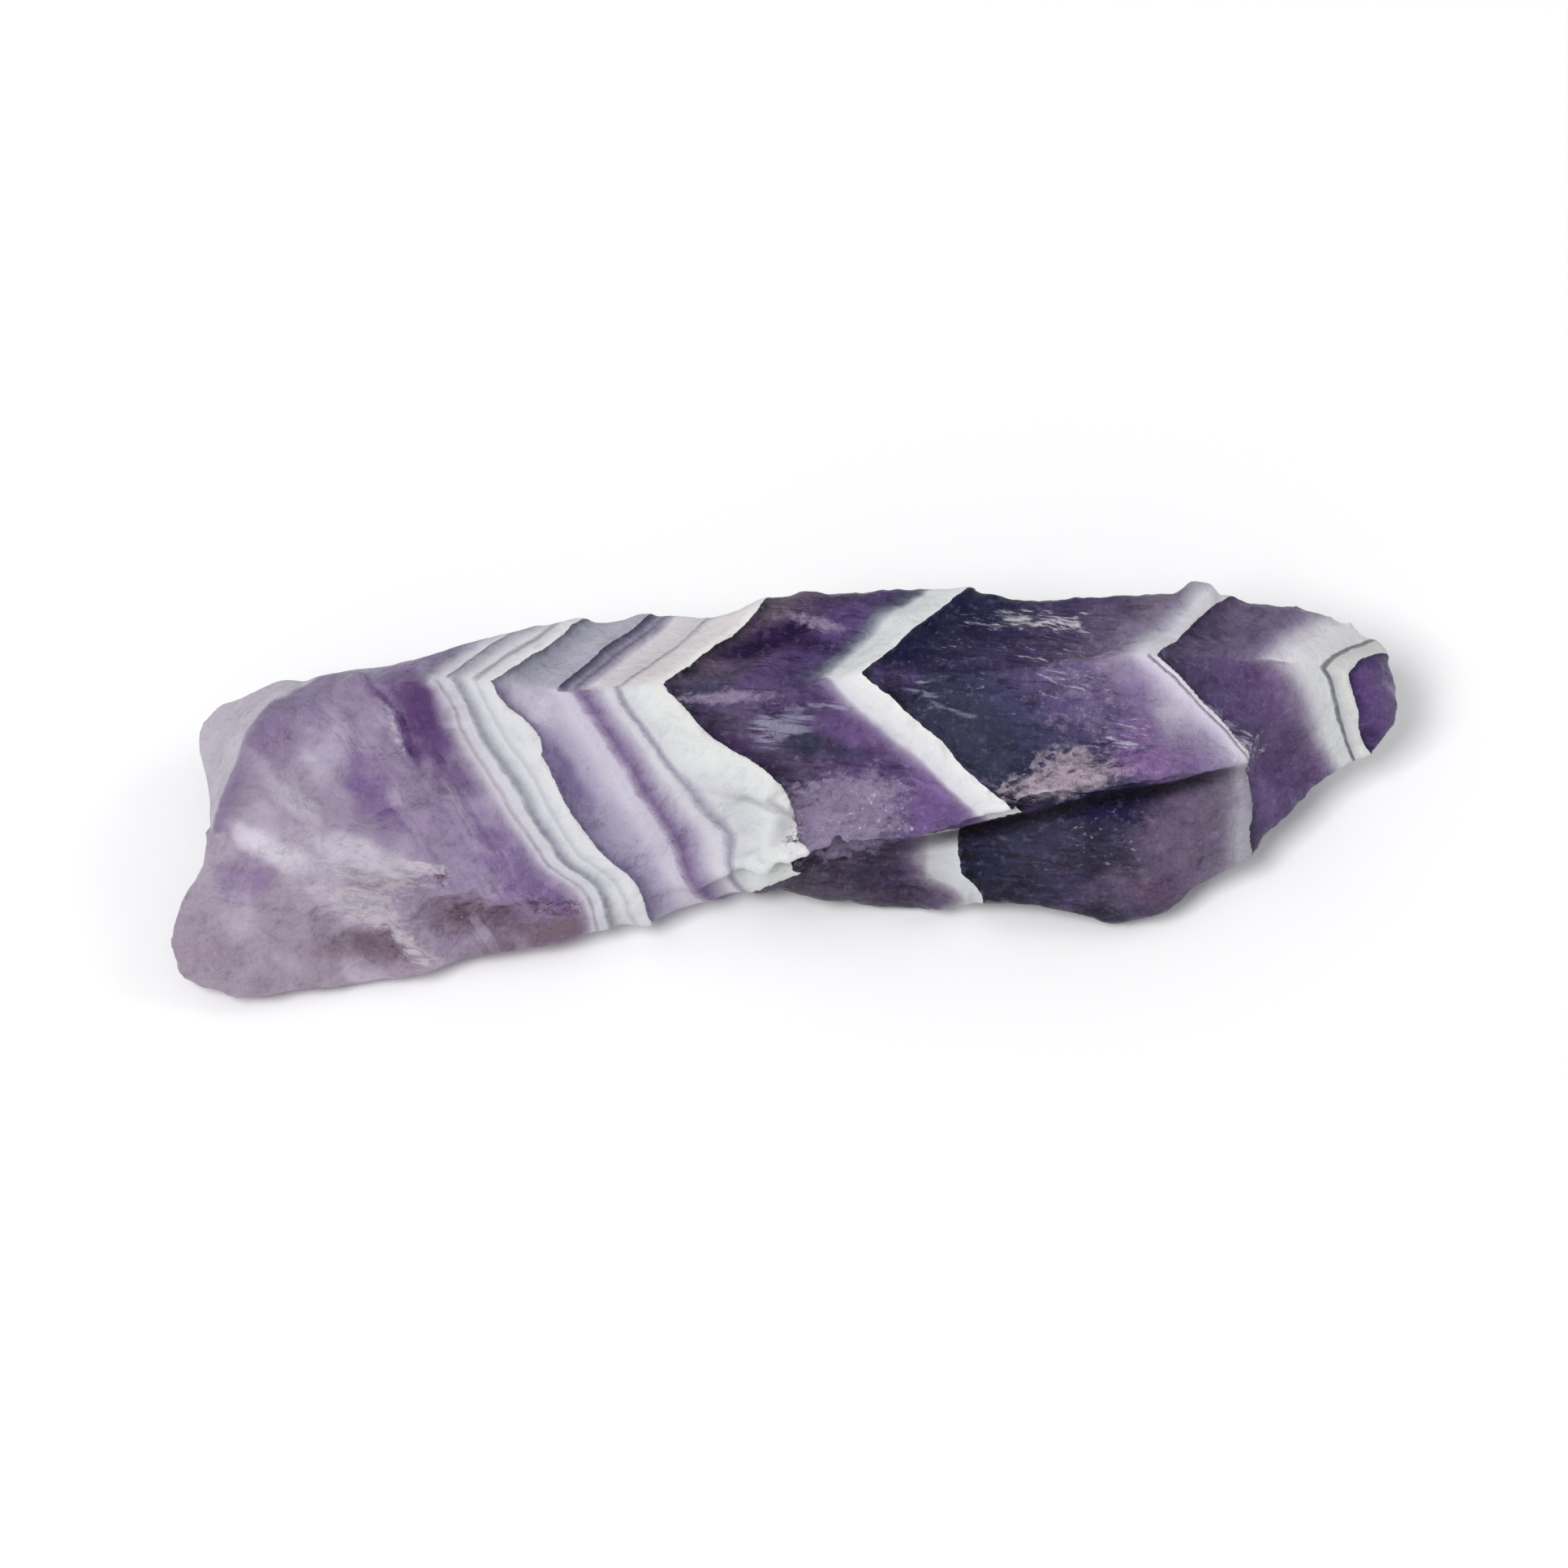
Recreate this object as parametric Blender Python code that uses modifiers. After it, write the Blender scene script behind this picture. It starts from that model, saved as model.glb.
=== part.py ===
# Chevron amethyst: one rough broken column of banded quartz, lying on its flattest side.
# Lengths are in millimetres until the finished mesh is scaled to metres. X runs along the
# column from its milky end to its tip, Y away from the viewer and Z up from the table.
import math
import random

import bmesh
import bpy
import numpy as np
from mathutils import Matrix, Vector, noise

MM = 0.001
STONE_LENGTH = 60.0
LOOK_DOWN = math.radians(60.0)  # the slope of the view that the seen points below are laid out in

# Fineness of the first rough mesh, of the voxels that make it one skin, and of the finished facets
RING_COUNT = 150
CAP_RING_COUNT = 8
STEP_LENGTH = 0.42
END_SHARE = 0.16  # share of the length over which the rings bend to follow an end's outline
MILKY_END_BULGE = 0.5
TIP_BULGE = 1.0
END_BLUNTNESS = 0.7
VOXEL_SIZE = 0.22
FACET_COUNT = 9200
FACETS_PER_VOXEL_FACE = 2

# Growth zones: nested V shapes with their points on the crest, between two flat growth faces.
# A pale zone stands a little proud and breaks off sharply on the side of the tip.
BACK_FACE = Vector((0.0, 0.953, -0.304))  # the way that the growth face behind the crest looks
BACK_OPENING = 0.93  # how far along the column a zone runs for each step away from the crest
FRONT_FACE = Vector((0.0, -0.823, -0.568))
FRONT_OPENING_PLACES = (-6.0, 6.0, 22.0, 28.0)
FRONT_OPENINGS = (0.64, 1.05, 1.05, 0.45)  # the front arms are steepest at both ends
BLOCK_SPAN = (-1.5, 24.5)  # the block under the ledge, parted from the rest by a healed crack
BLOCK_OPENING = 4.85  # its zones run straight across, this far on from where they have their point
PARTING_HEIGHT = 2.6
PARTING_RISE = 0.2
PARTING_FALL = -0.43
ZONE_WANDER = 0.3
ZONE_WANDER_SIZE = 2.5
ZONE_LEDGES = [  # where on the crest the zone ends, how wide it is, how far it stands proud
    (-16.4, 1.2, 0.18), (-14.4, 1.6, 0.30), (-11.5, 1.8, 0.15), (-5.9, 3.4, 0.34),
    (3.9, 1.8, 0.22), (18.0, 1.8, 0.26), (27.3, 1.8, 0.14),
]
EDGE_WIDTH = 0.35

# Broken relief
SEED = 7
SWELL_HEIGHT = 0.45
SWELL_SIZE = 6.0
SWELL_FALL = 0.9  # how fast its finer folds get lower
SWELL_FINENESS = 2.1
SWELL_FOLDS = 3
CHIP_COUNT = 320
CHIP_RADIUS = (1.6, 5.0)
CHIP_DEPTH = (0.05, 0.32)
CHIP_LEAN = 0.18
CHIP_STRETCH = 1.6  # how much longer a chip is along the column than across it
CHIP_MOST = 0.75
CHIP_REACH = 0.4  # least agreement between a chip's direction and the surface that it takes
CHIP_RIM = 0.15  # share of a chip's reach over which it runs out
WEAR_ROUNDS = 2
WEAR = 0.5  # share of the way to its neighbours' middle that a round takes each point
UNDERSIDE = -0.7  # upward part of a normal that faces the table
LIP_SPAN = (-4.0, 22.5)
LIP_SAMPLES = 60
LIP_MARGIN = 0.8
SCOOP_REACH = 2.0
REST_DEPTH = 0.12  # what lies lower than this becomes the resting face
BASE_HEIGHT = -0.8  # the base lines lie under the table's height, where the resting face is cut
TINY = 1e-9

STONE_COLOUR = (0.20, 0.13, 0.36, 1.0)
STONE_ROUGHNESS = 0.42


def seen(x, up, height):
    """A point that shows at x across and up above the middle of the view, at a height over the table."""
    away = (up - height * math.cos(LOOK_DOWN)) / math.sin(LOOK_DOWN)
    return Vector((x, away, height))


def placed(x, away, height):
    """A point on a side that the view doesn't show."""
    return Vector((x, away, height))


# The lines that run along the column, in the order met going once around it. Each starts at
# the milky end and finishes at the tip.
CREST = [
    seen(-28.6, -2.2, 5.6), seen(-27.0, 0.6, 7.4), seen(-24.8, 3.6, 9.0), seen(-21.6, 5.4, 10.0),
    seen(-17.8, 5.8, 10.6), seen(-10.6, 5.1, 11.0), seen(-1.0, 5.5, 11.3), seen(9.5, 5.9, 11.3),
    seen(16.7, 6.5, 11.0), seen(21.0, 6.6, 10.3), seen(25.0, 6.3, 9.0), seen(29.2, 5.6, 7.3),
]
CROWN = [
    seen(-29.3, 3.6, 3.8), seen(-28.4, 5.3, 4.8), seen(-26.0, 5.8, 6.4), seen(-22.4, 6.2, 8.4),
    seen(-18.6, 6.9, 9.4), seen(-14.2, 7.9, 9.7), seen(-10.6, 8.4, 9.6), seen(-6.6, 9.5, 9.8),
    seen(-3.0, 9.4, 9.8), seen(-0.6, 9.9, 10.0), seen(2.4, 10.1, 9.9), seen(6.3, 10.5, 10.0),
    seen(18.2, 10.1, 9.8), seen(20.4, 10.5, 9.7), seen(21.6, 9.9, 9.3), seen(25.0, 9.7, 8.3),
    seen(27.8, 8.9, 7.0), seen(29.0, 8.2, 6.4),
]
BACK_SHOULDER = [
    placed(-28.9, 2.2, 2.6), placed(-25.4, 4.5, 3.6), placed(-19.0, 3.9, 5.6), placed(-12.0, 5.4, 6.2),
    placed(-4.0, 6.6, 5.8), placed(4.0, 7.6, 5.8), placed(11.0, 7.2, 5.6), placed(18.0, 7.3, 6.2),
    placed(24.0, 6.6, 5.6), placed(28.9, 5.6, 4.9),
]
BACK_FOOT = [
    placed(-27.8, 1.2, 1.2), placed(-23.0, 3.4, 1.0), placed(-14.0, 3.9, 1.8), placed(-6.0, 5.1, 1.4),
    placed(3.0, 5.9, 2.0), placed(10.0, 5.3, 1.3), placed(17.0, 5.3, 1.8), placed(22.5, 4.9, 2.6),
    placed(28.5, 4.2, 3.4),
]
BASE_BACK = [
    placed(-25.8, -1.0, BASE_HEIGHT), placed(-21.0, 1.2, BASE_HEIGHT),
    placed(-12.0, 1.4, BASE_HEIGHT), placed(-4.0, 2.6, BASE_HEIGHT),
    placed(4.0, 3.2, BASE_HEIGHT), placed(12.0, 3.0, BASE_HEIGHT), placed(18.0, 2.2, BASE_HEIGHT),
    placed(22.6, 2.2, 1.4), placed(28.2, 2.4, 2.9),
]
BASE_FRONT = [
    placed(-26.8, -11.9, BASE_HEIGHT), placed(-22.0, -11.8, BASE_HEIGHT), placed(-15.0, -10.3, BASE_HEIGHT),
    placed(-8.0, -8.0, BASE_HEIGHT), placed(-2.5, -6.0, BASE_HEIGHT), placed(3.0, -6.0, BASE_HEIGHT),
    placed(9.0, -6.4, BASE_HEIGHT), placed(16.6, -7.2, BASE_HEIGHT), placed(19.2, -5.4, 0.0),
    placed(22.8, -3.6, 1.5), placed(28.4, 0.4, 3.0),
]
FRONT_FOOT = [
    seen(-29.6, -10.1, 1.4), seen(-27.0, -11.5, 1.1), seen(-21.6, -10.8, 1.0), seen(-15.0, -9.2, 1.2),
    seen(-11.0, -8.7, 1.5), seen(-8.0, -7.5, 1.9), seen(-4.0, -5.9, 2.4), seen(-1.6, -5.5, 2.4),
    seen(1.4, -6.0, 1.8), seen(6.3, -6.1, 1.3), seen(12.0, -6.9, 1.2), seen(16.8, -6.9, 1.1),
    seen(18.2, -6.8, 1.4), seen(20.6, -5.2, 2.0), seen(22.6, -3.8, 2.6), seen(25.2, -1.4, 3.2),
    seen(28.6, 1.4, 3.6),
]
WALL = [
    seen(-30.2, -7.9, 2.8), seen(-26.2, -8.5, 3.2), seen(-19.0, -8.1, 2.8), seen(-14.0, -8.1, 2.4),
    seen(-8.5, -7.2, 2.4), seen(-5.0, -5.6, 2.9), seen(-2.6, -4.6, 3.9), seen(-0.8, -4.3, 4.4),
    seen(3.0, -4.0, 4.0), seen(8.0, -3.6, 4.4),
    seen(12.5, -3.2, 5.0), seen(17.4, -3.2, 5.2), seen(21.0, -2.2, 5.4), seen(22.7, -1.0, 5.3),
    seen(24.6, 0.2, 5.2), seen(29.3, 2.4, 4.6),
]
LEDGE_ROOT = [
    seen(-30.1, -6.6, 3.8), seen(-25.2, -6.6, 4.2), seen(-19.0, -6.9, 3.9), seen(-14.0, -7.3, 3.3),
    seen(-8.5, -6.9, 2.8), seen(-5.0, -5.3, 3.4), seen(-2.4, -3.9, 4.6), seen(-0.8, -2.9, 5.1),
    seen(3.0, -1.7, 5.4), seen(8.0, -0.9, 6.2),
    seen(13.0, 0.2, 7.1), seen(17.6, 0.8, 7.6), seen(21.0, 1.0, 7.6), seen(22.7, 0.8, 7.2),
    seen(24.2, 1.5, 6.5), seen(29.6, 3.1, 5.2),
]
LIP = [
    seen(-29.9, -5.6, 4.4), seen(-25.2, -5.9, 4.9), seen(-19.0, -6.5, 4.6), seen(-14.0, -6.9, 3.9),
    seen(-8.5, -6.5, 3.4), seen(-5.0, -5.0, 4.1), seen(-1.2, -4.2, 5.4), seen(3.0, -3.1, 6.3),
    seen(6.6, -2.4, 7.0),
    seen(10.0, -1.5, 7.7), seen(14.0, -0.2, 8.5), seen(17.6, 0.4, 9.0), seen(21.0, 0.9, 8.8),
    seen(22.7, 1.3, 8.1), seen(23.8, 2.1, 7.4), seen(26.0, 2.7, 6.8), seen(29.7, 3.8, 5.9),
]
BELLY = [
    seen(-28.9, -4.1, 5.2), seen(-25.8, -2.2, 7.0), seen(-21.0, -0.6, 8.2), seen(-15.0, -0.8, 8.0),
    seen(-9.0, -0.2, 8.2), seen(0.0, 0.8, 8.7), seen(5.0, 1.4, 9.2), seen(11.0, 2.2, 9.8),
    seen(17.0, 3.2, 10.1), seen(21.0, 3.8, 9.7), seen(24.6, 4.0, 8.4), seen(29.5, 4.7, 6.6),
]
LINES = [
    CREST, CROWN, BACK_SHOULDER, BACK_FOOT, BASE_BACK, BASE_FRONT,
    FRONT_FOOT, WALL, LEDGE_ROOT, LIP, BELLY,
]

# Shell-shaped hollows: the place, the way it looks, the size of the ball that fits it, its depth
SCOOPS = [
    (seen(-21.0, 2.8, 9.2), Vector((-0.05, -0.45, 0.89)), 14.0, 0.40),
    (seen(-19.0, -7.4, 3.8), Vector((0.00, -0.85, 0.52)), 8.0, 0.60),
    (seen(0.6, -2.0, 6.9), Vector((0.20, -0.60, 0.77)), 5.0, 0.45),
    (seen(22.5, 5.0, 9.5), Vector((0.30, -0.30, 0.90)), 8.0, 0.35),
    (placed(-4.0, 5.9, 6.0), Vector((0.00, 0.98, 0.20)), 10.0, 0.70),
    (placed(12.0, 6.7, 5.0), Vector((0.10, 0.99, 0.00)), 9.0, 0.60),
]


def along(line, x):
    """The point of a line at x, on straight runs between its points."""
    for start, end in zip(line, line[1:]):
        if x <= end.x:
            share = max(0.0, (x - start.x) / (end.x - start.x))
            return start.lerp(end, share)
    return line[-1].copy()


def eased(value):
    value = min(1.0, max(0.0, value))
    return value * value * (3.0 - 2.0 * value)


def corners_at(share):
    """Where the lines stand at a share of the way along, so that the last ones follow the ends' outlines."""
    first = max(line[0].x for line in LINES)
    last = min(line[-1].x for line in LINES)
    to_start = eased(1.0 - share / END_SHARE)
    to_end = eased(1.0 - (1.0 - share) / END_SHARE)
    corners = []
    for line in LINES:
        x = first + (last - first) * share
        x += (line[0].x - first) * to_start + (line[-1].x - last) * to_end
        corners.append(along(line, x))
    return corners


def strip_steps():
    """How many mesh steps each strip between neighbouring lines takes, from its width halfway along."""
    corners = corners_at(0.5)
    following = corners[1:] + corners[:1]
    return [max(2, round((end - start).length / STEP_LENGTH)) for start, end in zip(corners, following)]


def ring(share, steps):
    """One closed row of points around the column."""
    corners = corners_at(share)
    points = []
    for start, end, count in zip(corners, corners[1:] + corners[:1], steps):
        points += [start.lerp(end, step / count) for step in range(count)]
    return points


def capped(rim, bulge):
    """Shrinking rows that round an end off, from its rim to a middle point."""
    middle = sum(rim, Vector()) / len(rim)
    rows = []
    for number in range(1, CAP_RING_COUNT):
        angle = 0.5 * math.pi * number / CAP_RING_COUNT
        lift = Vector((bulge * math.sin(angle), 0.0, 0.0))
        rows.append([middle.lerp(point, math.cos(angle) ** END_BLUNTNESS) + lift for point in rim])
    return rows, middle + Vector((bulge, 0.0, 0.0))


def add_mass(mesh):
    """The loft through the lines, closed at both ends."""
    steps = strip_steps()
    body = [ring(number / (RING_COUNT - 1), steps) for number in range(RING_COUNT)]
    start_rows, start_middle = capped(body[0], -MILKY_END_BULGE)
    end_rows, end_middle = capped(body[-1], TIP_BULGE)
    rows = start_rows[::-1] + body + end_rows
    grid = [[mesh.verts.new(point) for point in row] for row in rows]
    around = sum(steps)
    for near, far in zip(grid, grid[1:]):
        for number in range(around):
            after = (number + 1) % around
            mesh.faces.new((near[number], near[after], far[after], far[number]))
    for row, middle in ((grid[0], start_middle), (grid[-1], end_middle)):
        tip = mesh.verts.new(middle)
        for number in range(around):
            mesh.faces.new((row[number], row[(number + 1) % around], tip))
    bmesh.ops.recalc_face_normals(mesh, faces=mesh.faces)


def move_out(mesh, height_of):
    """Moves every point along its normal by the height that the function gives for its place."""
    mesh.normal_update()
    moves = [vert.normal * height_of(vert.co) for vert in mesh.verts]
    for vert, move in zip(mesh.verts, moves):
        vert.co += move


def swell(place):
    return SWELL_HEIGHT * noise.fractal(place / SWELL_SIZE, SWELL_FALL, SWELL_FINENESS, SWELL_FOLDS)


def in_lower_block(place):
    parting = PARTING_HEIGHT + PARTING_RISE * place.x + PARTING_FALL * place.y
    return BLOCK_SPAN[0] < place.x < BLOCK_SPAN[1] and place.z < parting


def zone_at(place):
    """The growth zone that a place lies in, given by where on the crest that zone has its point."""
    offset = place - along(CREST, place.x)
    front_opening = np.interp(place.x, FRONT_OPENING_PLACES, FRONT_OPENINGS)
    opening = max(BACK_OPENING * offset.dot(BACK_FACE), front_opening * offset.dot(FRONT_FACE))
    if in_lower_block(place):
        opening = BLOCK_OPENING
    return place.x - opening + ZONE_WANDER * noise.noise(place / ZONE_WANDER_SIZE)


def zone_relief(place):
    """How far a place stands proud for the growth zone that it lies in."""
    zone = zone_at(place)
    height = 0.0
    for edge, width, proud in ZONE_LEDGES:
        rise = eased((zone - edge + width) / width)
        fall = eased((edge + EDGE_WIDTH - zone) / EDGE_WIDTH)
        height += proud * rise * fall
    return height


def lip_distances(places):
    """How far each point is from the overhanging lip, whose thin edge takes no chips."""
    lip = np.array([along(LIP, x) for x in np.linspace(*LIP_SPAN, LIP_SAMPLES)])
    return np.linalg.norm(places[:, None, :] - lip[None, :, :], axis=2).min(axis=1)


def scoop(mesh):
    """Presses shell-shaped hollows into the surface, each the bottom of a large ball."""
    for place, facing, radius, depth in SCOOPS:
        facing = facing.normalized()
        for vert in mesh.verts:
            offset = vert.co - place
            height = offset.dot(facing)
            spread = (offset - facing * height).length
            if spread < radius and abs(height) < SCOOP_REACH:
                bottom = radius - depth - math.sqrt(radius * radius - spread * spread)
                vert.co -= facing * max(0.0, height - bottom)


def chip(mesh, rng):
    """Flattens what stands above many small planes, where flakes have come off all but the underside."""
    mesh.normal_update()
    places = np.array([vert.co for vert in mesh.verts])
    normals = np.array([vert.normal for vert in mesh.verts])
    starts = places.copy()
    room = np.clip((lip_distances(places) - LIP_MARGIN) / LIP_MARGIN, 0.0, 1.0)
    for _ in range(CHIP_COUNT):
        struck = rng.randrange(len(places))
        if normals[struck][2] < UNDERSIDE:
            continue
        lean = np.array([rng.uniform(-CHIP_LEAN, CHIP_LEAN) for _ in range(3)])
        facing = normals[struck] + lean
        facing /= np.linalg.norm(facing)
        offsets = places - places[struck] + facing * rng.uniform(*CHIP_DEPTH)
        above = offsets @ facing
        reach = np.linalg.norm(offsets / (CHIP_STRETCH, 1.0, 1.0), axis=1) / rng.uniform(*CHIP_RADIUS)
        inside = np.clip((1.0 - reach) / CHIP_RIM, 0.0, 1.0)
        agreement = np.clip((normals @ facing - CHIP_REACH) / CHIP_REACH, 0.0, 1.0)
        places -= facing * (np.clip(above, 0.0, CHIP_MOST) * inside * agreement * room)[:, None]
    moved = places - starts
    lengths = np.maximum(np.linalg.norm(moved, axis=1), TINY)
    places = starts + moved * np.minimum(1.0, CHIP_MOST / lengths)[:, None]
    for vert, place in zip(mesh.verts, places):
        vert.co = place


def wear(mesh):
    """Takes the finest teeth off the edges that the chips leave."""
    for _ in range(WEAR_ROUNDS):
        bmesh.ops.smooth_vert(
            mesh, verts=mesh.verts, factor=WEAR, use_axis_x=True, use_axis_y=True, use_axis_z=True)


def flatten_rest(mesh, depth):
    """Makes one flat face of what lies lowest."""
    for vert in mesh.verts:
        if vert.co.z < depth:
            vert.co.z = 0.0


def to_size(mesh):
    """Puts the origin under the middle of the stone's box and brings the stone to its length."""
    low = Vector([min(vert.co[axis] for vert in mesh.verts) for axis in range(3)])
    high = Vector([max(vert.co[axis] for vert in mesh.verts) for axis in range(3)])
    middle = (low + high) / 2.0
    scale = STONE_LENGTH / (high.x - low.x)
    bmesh.ops.translate(mesh, verts=mesh.verts, vec=(-middle.x, -middle.y, 0.0))
    bmesh.ops.scale(mesh, verts=mesh.verts, vec=(scale, scale, scale))
    print("stone moved by", -middle.x, -middle.y, "and scaled by", scale, "to", (high - low) * scale)


def faceted(mesh):
    """The rough mesh as one closed skin of flat facets, few where it is flat and many along its edges."""
    data = bpy.data.meshes.new("rough stone")
    mesh.to_mesh(data)
    rough_stone = bpy.data.objects.new("rough stone", data)
    bpy.context.scene.collection.objects.link(rough_stone)
    remesh = rough_stone.modifiers.new("one skin", "REMESH")
    remesh.mode = "VOXEL"
    remesh.voxel_size = VOXEL_SIZE
    fewer = rough_stone.modifiers.new("facets", "DECIMATE")
    fewer.use_collapse_triangulate = True
    bpy.context.view_layer.update()
    skin = rough_stone.evaluated_get(bpy.context.evaluated_depsgraph_get()).data
    fewer.ratio = min(1.0, FACET_COUNT / (FACETS_PER_VOXEL_FACE * len(skin.polygons)))
    bpy.context.view_layer.update()
    evaluated = rough_stone.evaluated_get(bpy.context.evaluated_depsgraph_get())
    result = bmesh.new()
    result.from_mesh(evaluated.data)
    bpy.data.objects.remove(rough_stone, do_unlink=True)
    return result


def stone_material():
    material = bpy.data.materials.new("banded_quartz")
    material.use_nodes = True
    shader = material.node_tree.nodes["Principled BSDF"]
    shader.inputs["Base Color"].default_value = STONE_COLOUR
    shader.inputs["Roughness"].default_value = STONE_ROUGHNESS
    shader.inputs["Metallic"].default_value = 0.0
    return material


def main():
    for old in list(bpy.data.objects):
        bpy.data.objects.remove(old, do_unlink=True)
    rng = random.Random(SEED)
    mesh = bmesh.new()
    add_mass(mesh)
    move_out(mesh, swell)
    scoop(mesh)
    chip(mesh, rng)
    wear(mesh)
    move_out(mesh, zone_relief)
    flatten_rest(mesh, REST_DEPTH)
    stone_mesh = faceted(mesh)
    mesh.free()
    flatten_rest(stone_mesh, REST_DEPTH)
    to_size(stone_mesh)
    bmesh.ops.transform(stone_mesh, matrix=Matrix.Scale(MM, 4), verts=stone_mesh.verts)
    data = bpy.data.meshes.new("chevron_amethyst")
    stone_mesh.to_mesh(data)
    stone_mesh.free()
    data.materials.append(stone_material())
    stone = bpy.data.objects.new("chevron_amethyst", data)
    parts = bpy.data.collections.new("chevron amethyst")
    bpy.context.scene.collection.children.link(parts)
    parts.objects.link(stone)


main()
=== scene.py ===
import math

import bpy
import numpy as np
from mathutils import Matrix, Vector, noise
from mathutils.bvhtree import BVHTree


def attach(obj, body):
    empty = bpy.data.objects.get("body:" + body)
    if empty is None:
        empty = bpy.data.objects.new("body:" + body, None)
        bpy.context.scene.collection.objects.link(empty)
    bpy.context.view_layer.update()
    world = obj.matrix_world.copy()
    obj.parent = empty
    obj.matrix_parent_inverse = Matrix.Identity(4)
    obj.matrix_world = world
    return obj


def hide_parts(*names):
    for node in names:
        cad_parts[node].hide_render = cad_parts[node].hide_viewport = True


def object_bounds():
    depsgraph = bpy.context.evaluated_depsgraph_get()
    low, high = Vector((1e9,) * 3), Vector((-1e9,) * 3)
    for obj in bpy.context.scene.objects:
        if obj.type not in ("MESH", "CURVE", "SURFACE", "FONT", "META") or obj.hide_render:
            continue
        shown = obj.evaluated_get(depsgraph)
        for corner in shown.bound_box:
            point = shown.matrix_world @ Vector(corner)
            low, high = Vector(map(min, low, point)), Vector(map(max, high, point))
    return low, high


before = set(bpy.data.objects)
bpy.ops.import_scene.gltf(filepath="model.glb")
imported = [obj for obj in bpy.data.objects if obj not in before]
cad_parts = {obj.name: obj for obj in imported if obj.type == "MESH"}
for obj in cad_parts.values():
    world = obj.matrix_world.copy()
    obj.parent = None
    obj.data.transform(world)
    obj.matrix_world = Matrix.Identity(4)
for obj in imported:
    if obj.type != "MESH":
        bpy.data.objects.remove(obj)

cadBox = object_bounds()
mm = 0.001
print("frame loaded")

# How the photograph sees the stone. Millimetres here lie in the plane that faces the camera.
photo = {
    "lookDown": math.radians(60),
    "originPixel": (645.0, 523.7),    # where the frame's origin is seen
    "mmPerPixel": 0.14034,
    "rayStart": 100.0,                # mm in front of the plane through the origin
    "nearestFrom": 6.0,               # the same, where a pixel misses the stone
    "seenWidth": 77.0,                # mm of the table that the frame takes in
    "lens": 300,                      # long, since the photograph shows no perspective
    "sensor": 36,
}
acrossPhoto = Vector((1, 0, 0))
upPhoto = Vector((0, math.sin(photo["lookDown"]), math.cos(photo["lookDown"])))
toCamera = Vector((0, -math.cos(photo["lookDown"]), math.sin(photo["lookDown"])))

# How the quartz grew: nested zones that come to a point on the crest and open towards the milky end.
# The pushes are ovals in which they bulge towards the tip: the pixel at the middle, half the width and
# height in mm, the turn in degrees, how far they bulge in mm, and the softness.
growth = {
    "layoutScale": 1.0024,            # the growth was laid out a little smaller than the stone is
    "layoutShift": (0.0, 3.035, 0.0),
    "crest": [                        # across, up and height above the table, laid out in mm
        (-28.6, -2.2, 5.6), (-27.0, 0.6, 7.4), (-24.8, 3.6, 9.0), (-21.6, 5.4, 10.0),
        (-17.8, 5.8, 10.6), (-10.6, 5.1, 11.0), (-1.0, 5.5, 11.3), (9.5, 5.9, 11.3),
        (16.7, 6.5, 11.0), (21.0, 6.6, 10.3), (25.0, 6.3, 9.0), (29.2, 5.6, 7.3),
    ],
    "backFace": (0.953, -0.304),      # the way that the growth face behind the crest looks, y and z
    "backOpening": 0.93,
    "frontFace": (-0.823, -0.568),
    "frontOpeningPlaces": (-6.0, 6.0, 22.0, 26.0, 28.5),
    "frontOpenings": (0.64, 1.05, 1.05, 0.95, 0.5),
    "crestBlend": 0.1,                # mm over which the front turns into the back, each way
    "blockOpening": 4.85,             # the block under the ledge has its own zones, straight across
    "sharedEdge": 4,                  # past this one of zoneEdges they run on through what is above it
    "ovalDepth": 4.0,
    "wander": 0.3,
    "wanderSize": 2.5,
    "pushes": {
        "milkBulge": ((638, 503), (2.6, 1.6), -20, 1.2, .8),
        "milkHeel": ((647, 535), (2.2, 1.6), 0, -1.6, .9),
        "seamFoot": ((622, 539), (2.6, 1.8), 0, -1.5, .9),
        "stackFoot": ((590, 541), (2.0, 1.4), 0, .6, .9),
        "stackHeel": ((566, 549), (1.7, 1.6), 0, 1.4, .9),
        "stackBeak": ((555, 486), (1.2, .55), -45, .45, .4),
        "blockFoot": ((700, 552), (1.9, .8), 0, 1.7, .9),
        "tipFoot": ((842, 500), (3.2, 2.0), 0, -1.1, .8),
    },
}

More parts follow.
